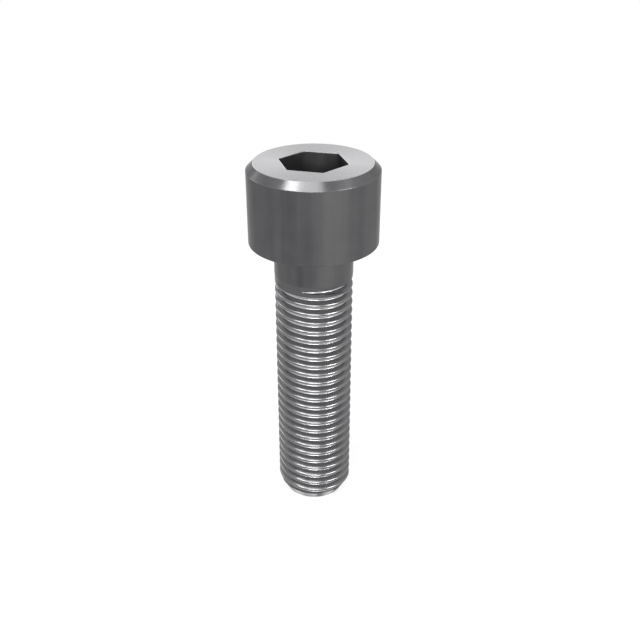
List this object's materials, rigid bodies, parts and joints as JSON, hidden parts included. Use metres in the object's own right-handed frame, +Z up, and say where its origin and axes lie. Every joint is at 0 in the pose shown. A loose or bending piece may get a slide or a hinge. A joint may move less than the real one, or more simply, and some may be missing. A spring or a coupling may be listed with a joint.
{
  "type": "hex socket cap screw",
  "caption": "Cap screw with a plain round head, a blind hex socket, a short plain neck and a fine left-hand thread, standing on its flat end.",
  "frame": {"origin": "middle of the flat end face, on the surface that the screw stands on", "axes": "+Z up along the axis of the screw, from the end face to the head, and out of the hex socket; X and Y lie across it, with -Y towards the camera of the picture"},
  "size_m": [0.013, 0.013, 0.038],
  "materials": {
    "dark_steel": "turned and thread-rolled steel with a thin dark oxide skin, semi-bright and faintly marked by the tool"
  },
  "bodies": {
    "root": {"cap_screw": "dark_steel"}
  },
  "joints": []
}
